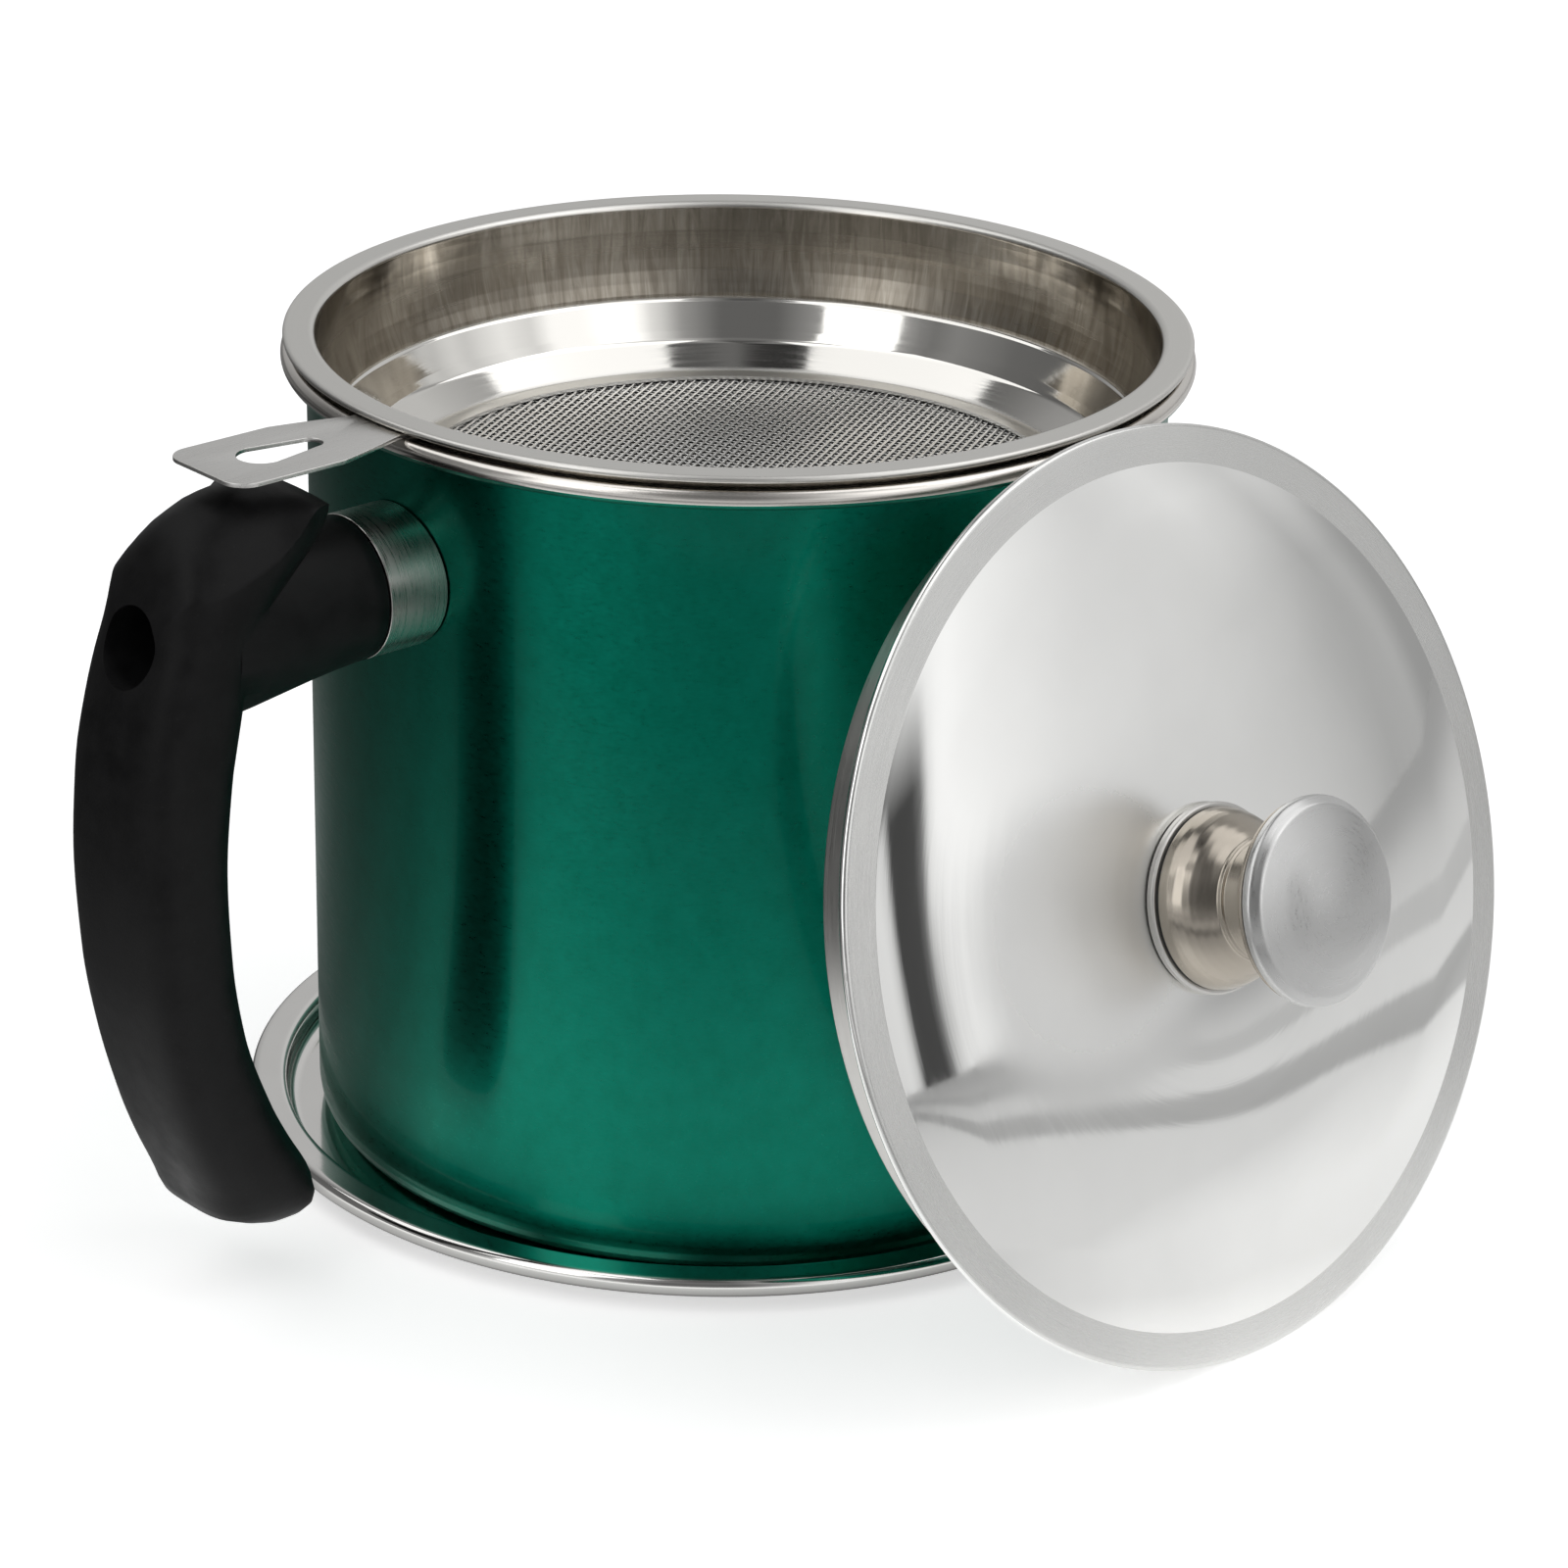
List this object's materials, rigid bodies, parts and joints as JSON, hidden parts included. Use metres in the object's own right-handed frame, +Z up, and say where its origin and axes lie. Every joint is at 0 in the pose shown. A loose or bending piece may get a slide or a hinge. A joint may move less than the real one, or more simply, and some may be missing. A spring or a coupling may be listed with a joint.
{
  "type": "bacon grease container",
  "caption": "Lidded metal pot with a black side handle and a drop-in mesh strainer, standing in a drip tray, with its knobbed lid leaning against its side.",
  "frame": {"origin": "on the pot's axis, in the plane of the tray's underside, which is the surface that the part stands on", "axes": "+Z up along the pot's axis; the picture looks along +Y; the handle points towards -X and -Y, and the lid leans at +X and -Y"},
  "size_m": [0.2287, 0.2076, 0.1415],
  "materials": {
    "polished_steel": "polished stainless steel",
    "satin_steel": "satin stainless steel",
    "green_lacquer": "clear teal-green lacquer over fine brushed steel",
    "black_phenolic": "matte moulded phenolic",
    "black_rubber": "matte",
    "warm_nickel": "satin, warm tinted",
    "polished_aluminium": "polished, slightly hazy",
    "zinc_plated_steel": "zinc plated"
  },
  "bodies": {
    "tray": {"drip_tray": "polished_steel"},
    "pot": {"pot_shell": "green_lacquer", "pot_rim": "polished_steel", "handle_bracket": "zinc_plated_steel", "handle_ferrule": "satin_steel", "handle_grip": "black_phenolic", "handle_screw": "zinc_plated_steel", "handle_spring_washer": "zinc_plated_steel"},
    "strainer": {"strainer_basket": "polished_steel", "strainer_mesh": "satin_steel", "mesh_clamp_ring": "satin_steel", "strainer_tab": "satin_steel"},
    "lid": {"lid_shell": "polished_steel", "lid_skirt": "satin_steel", "knob_backplate": "warm_nickel", "knob_gasket": "black_rubber", "knob_bell": "warm_nickel", "knob_core": "zinc_plated_steel", "knob_cap": "polished_aluminium", "lid_screw": "zinc_plated_steel", "lid_washer": "zinc_plated_steel"}
  },
  "joints": [
    {"name": "pot_lift", "type": "slide", "parent": "tray", "child": "pot", "axis": [0, 0, 1], "range_m": [0, 0.15]},
    {"name": "strainer_lift", "type": "slide", "parent": "pot", "child": "strainer", "axis": [0, 0, 1], "range_m": [0, 0.1]},
    {"name": "lid_pull", "type": "slide", "parent": "tray", "child": "lid", "axis": [0.6666, -0.6831, 0.2982], "range_m": [0, 0.12]}
  ]
}
